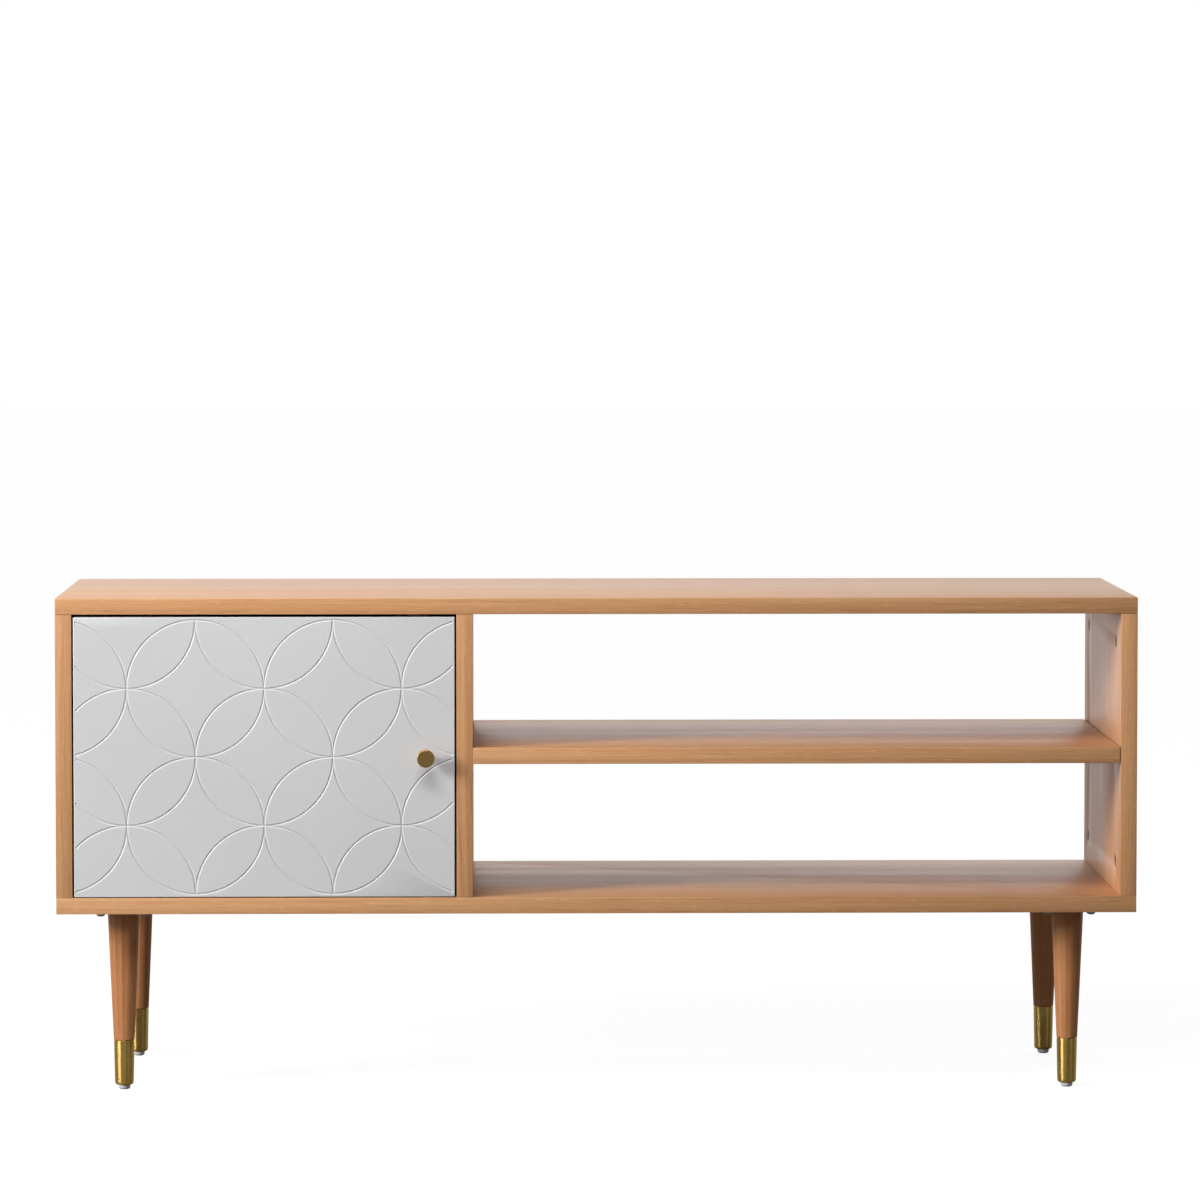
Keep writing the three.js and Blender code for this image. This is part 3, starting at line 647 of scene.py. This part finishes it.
def build_door():
    low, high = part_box("door_panel")
    face = low.y
    middle = ((low.x + high.x) / 2, (low.z + high.z) / 2)
    edge, side_edge = 3.3 * MM, 2.7 * MM
    radius = ((high.z - low.z) - 2 * edge) / 4
    half_width = (high.x - low.x) / 2 - side_edge
    half_height = 2 * radius + 0.2 * MM
    columns = math.ceil(half_width / radius)
    cutters = []
    for column in range(-columns, columns + 1):
        for row in range(-2, 3):
            if (column + row) % 2:
                continue
            centre = (column * radius, row * radius)
            place = (middle[0] + centre[0], face, middle[1] + centre[1])
            for start, end in arcs_inside(centre, radius, half_width, half_height):
                cutters.append(groove("groove", place, radius, start, end))
                if end - start < 2 * math.pi - 1e-6:
                    for angle in (start, end):
                        tip = (place[0] + radius * math.cos(angle), face,
                               place[2] + radius * math.sin(angle))
                        cutters.append(plunge("plunge", tip))

    def bore(name, node, diameter, depth):
        """A round hole sunk from the door's back, on the middle of a node's box."""
        first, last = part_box(node)
        at = Vector(((first.x + last.x) / 2, high.y - depth * MM, (first.z + last.z) / 2))
        profile = [(0, 0), (diameter / 2, 0), (diameter / 2, depth + 2), (0, depth + 2)]
        mesh = turned_mesh(name, profile, axis="y", segments=48)
        mesh.transform(Matrix.Translation(at) @ Matrix.Rotation(math.pi, 4, "X"))
        return mesh

    thickness = (high.y - low.y) / MM
    for level in LEVELS:
        first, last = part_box(f"{level}_hinge_cup_pin")
        cup_low, cup_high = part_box(f"{level}_hinge_cup")
        depth = (high.y - cup_low.y) / MM
        profile = [(0, 0), (17.8, 0), (17.8, depth + 2.3), (0, depth + 2.3)]
        mesh = turned_mesh("cup_bore", profile, axis="y", segments=64)
        at = (cup_low.x + 19.5 * MM, high.y - (depth + 0.3) * MM, (cup_low.z + cup_high.z) / 2)
        mesh.transform(Matrix.Translation(at) @ Matrix.Rotation(math.pi, 4, "X"))
        cutters.append(mesh)
        for end in LEVELS:
            cutters.append(bore("screw_hole", f"{level}_hinge_cup_screw_{end}", 3.6, 11.3))
    cutters.append(bore("knob_hole", "knob_screw", 4.6, thickness + 1))

    slab = box_mesh("door_slab", low, high, 1.0 * MM)
    mesh = cut("door_panel_routed", slab, cutters)
    mesh.polygons.foreach_set("use_smooth", [True] * len(mesh.polygons))
    mesh.set_sharp_from_angle(angle=math.radians(26))
    add_piece("door_panel_routed", mesh, PAINT, "door", ["door_panel"])


def build_knob():
    low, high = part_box("door_knob")
    reach = (high.y - low.y) / MM
    head = (high.x - low.x) / 2 / MM
    neck = 4.5
    rim = [(head - 0.9 + 0.9 * math.sin(math.radians(15 * i)),
            reach - 0.9 + 0.9 * math.cos(math.radians(15 * i))) for i in range(7)]
    under = [(head - 0.6 + 0.6 * math.cos(math.radians(18 * i)),
              reach - 8.6 - 0.6 * math.sin(math.radians(18 * i))) for i in range(6)]
    cove = [(neck + 3.4 - 3.4 * math.sin(math.radians(18 * i)),
             reach - 12.4 + 3.2 * math.cos(math.radians(18 * i))) for i in range(6)]
    profile = [(0, reach - 0.12), (head * 0.5, reach - 0.04), (head - 1.2, reach), *rim, *under, *cove,
               (neck, 2.2), (neck + 0.5, 1.0), (neck + 1.5, 0.3), (neck + 1.5, 0.0), (0, 0)]
    mesh = turned_mesh("knob", profile, axis="y", segments=96)
    at = ((low.x + high.x) / 2, high.y, (low.z + high.z) / 2)
    add_piece("door_knob_turned", mesh, KNOB_BRASS, "door", ["door_knob"], at)


# ---- Hinges, catch, cams, shelf pins ----
def build_fittings():
    plated = [f"{level}_hinge_{part}" for level in LEVELS
              for part in ("cup", "cup_pin", "link", "arm_pin", "arm", "plate")]
    plated += [f"shelf_pin_{row}_{side}" for row in ("front", "rear") for side in ("left", "right")]
    plated.append("catch_strike")
    for node in plated:
        bm = copied(node)
        soften(bm, 0.2 * MM)
        add_piece(f"{node}_plated", finished(node, bm), NICKEL, body_of(node), [node])

    bm = copied("magnetic_catch")
    soften(bm, 0.8 * MM)
    add_piece("magnetic_catch_moulded", finished("catch", bm), CATCH, "carcass",
              ["magnetic_catch"])


def build_cams():
    """The right panel's cam locks, and copies for the divider and the left panel."""
    right_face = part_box("right_side_panel")[0].x
    divider_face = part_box("centre_divider")[0].x
    left_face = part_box("left_side_panel")[1].x
    flip = Matrix.Translation((left_face + right_face, 0, 0)) @ Matrix.Scale(-1, 4, (1, 0, 0))
    copies = {"divider": Matrix.Translation((divider_face - right_face, 0, 0)), "left": flip}
    for row in ("front", "rear"):
        for level in LEVELS:
            node = f"cam_lock_{row}_{level}"
            bm = copied(node)
            soften(bm, 0.3 * MM)
            mesh = finished(node, bm)
            add_piece(f"{node}_disc", mesh, ZINC_WITH_HOLE_SHADE, "carcass", [node])
            for panel, matrix in copies.items():
                twin = mesh.copy()
                twin.transform(matrix)
                if panel == "left":
                    twin.flip_normals()
                add_piece(f"{node}_disc_{panel}", twin, ZINC_WITH_HOLE_SHADE, "carcass")


# ---- Floor, light and camera ----
def build_floor():
    """A pale seamless floor, lit to the same white as the room behind it."""
    bpy.ops.mesh.primitive_plane_add(size=60, location=(0, 0, 0))
    floor = bpy.context.object
    floor.name = "floor"
    material, tree, shader = new_material("floor")
    seen = add(tree, "ShaderNodeLightPath").outputs["Is Camera Ray"]
    place = add(tree, "ShaderNodeTexCoord").outputs["Object"]
    back = add(tree, "ShaderNodeSeparateXYZ", {0: place}).outputs["Y"]
    lit = ramp(tree, maths(tree, "DIVIDE", back, 4.0), [(0.2, 0.0), (0.9, 0.9)])
    tree.links.new(mix(tree, seen, lit, (0.88, 0.88, 0.88, 1)), shader.inputs["Emission Strength"])
    shader.inputs["Base Color"].default_value = (0.18, 0.18, 0.18, 1)
    shader.inputs["Roughness"].default_value = 0.9
    shader.inputs["Specular IOR Level"].default_value = 0.1
    shader.inputs["Emission Color"].default_value = (1, 1, 1, 1)
    floor.data.materials.append(material)


def area_light(name, at, target, size, power):
    data = bpy.data.lights.new(name, "AREA")
    data.shape = "RECTANGLE"
    data.size, data.size_y = size
    data.energy = power
    lamp = bpy.data.objects.new(name, data)
    lamp.location = at
    lamp.rotation_euler = (Vector(target) - Vector(at)).to_track_quat("-Z", "Y").to_euler()
    bpy.context.scene.collection.objects.link(lamp)


def build_light():
    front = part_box("door_panel")[0].y
    area_light("key", (-4.07, front - 2.465, 1.99), (-0.1, front, 0.35), (1.2, 1.4), 196)
    area_light("overhead", (-0.55, front - 1.6, 2.35), (0.0, front, 0.4), (1.6, 0.8), 38)
    area_light("fill", (3.4, front - 2.6, 1.3), (0.2, front, 0.35), (1.4, 1.8), 6)
    area_light("strip", (-3.5, front - 0.95, 0.55), (-0.1, front, 0.2), (0.2, 1.2), 14)

    world = bpy.data.worlds.new("studio")
    bpy.context.scene.world = world
    world.use_nodes = True
    tree = world.node_tree
    seen = add(tree, "ShaderNodeLightPath").outputs["Is Camera Ray"]
    direction = add(tree, "ShaderNodeTexCoord").outputs["Generated"]
    depth = add(tree, "ShaderNodeSeparateXYZ", {0: direction}).outputs["Y"]
    # A dark room with a bright white wall behind the stand.
    wall = ramp(tree, depth, [(0.0, 0.06), (0.15, 0.2), (0.6, 1.0)])
    wall = mix(tree, 1.0, wall, (1.2, 1.2, 1.2, 1.0), "MULTIPLY")
    colour = mix(tree, seen, wall, (1.0, 1.0, 1.0, 1.0))
    tree.links.new(colour, tree.nodes["Background"].inputs["Color"])


def build_camera():
    """A long lens, a little left of the middle, level with a standing viewer's waist."""
    stand_low, stand_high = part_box("top_panel")
    front = stand_low.y
    data = bpy.data.cameras.new("camera")
    data.sensor_width = 36
    data.lens = 177.4
    data.clip_end = 100
    camera = bpy.data.objects.new("camera", data)
    camera.location = (stand_low.x + 0.477, front - 6.536, 0.931)
    pitch = math.radians(90 - 3.32)
    yaw = math.radians(-1.105)
    camera.rotation_euler = (pitch, 0, yaw)
    bpy.context.scene.collection.objects.link(camera)
    bpy.context.scene.camera = camera


build_boards()
build_screws(build_legs())
build_door()
build_knob()
build_fittings()
build_cams()
build_floor()
build_light()
build_camera()
bpy.context.scene.view_settings.view_transform = "Standard"
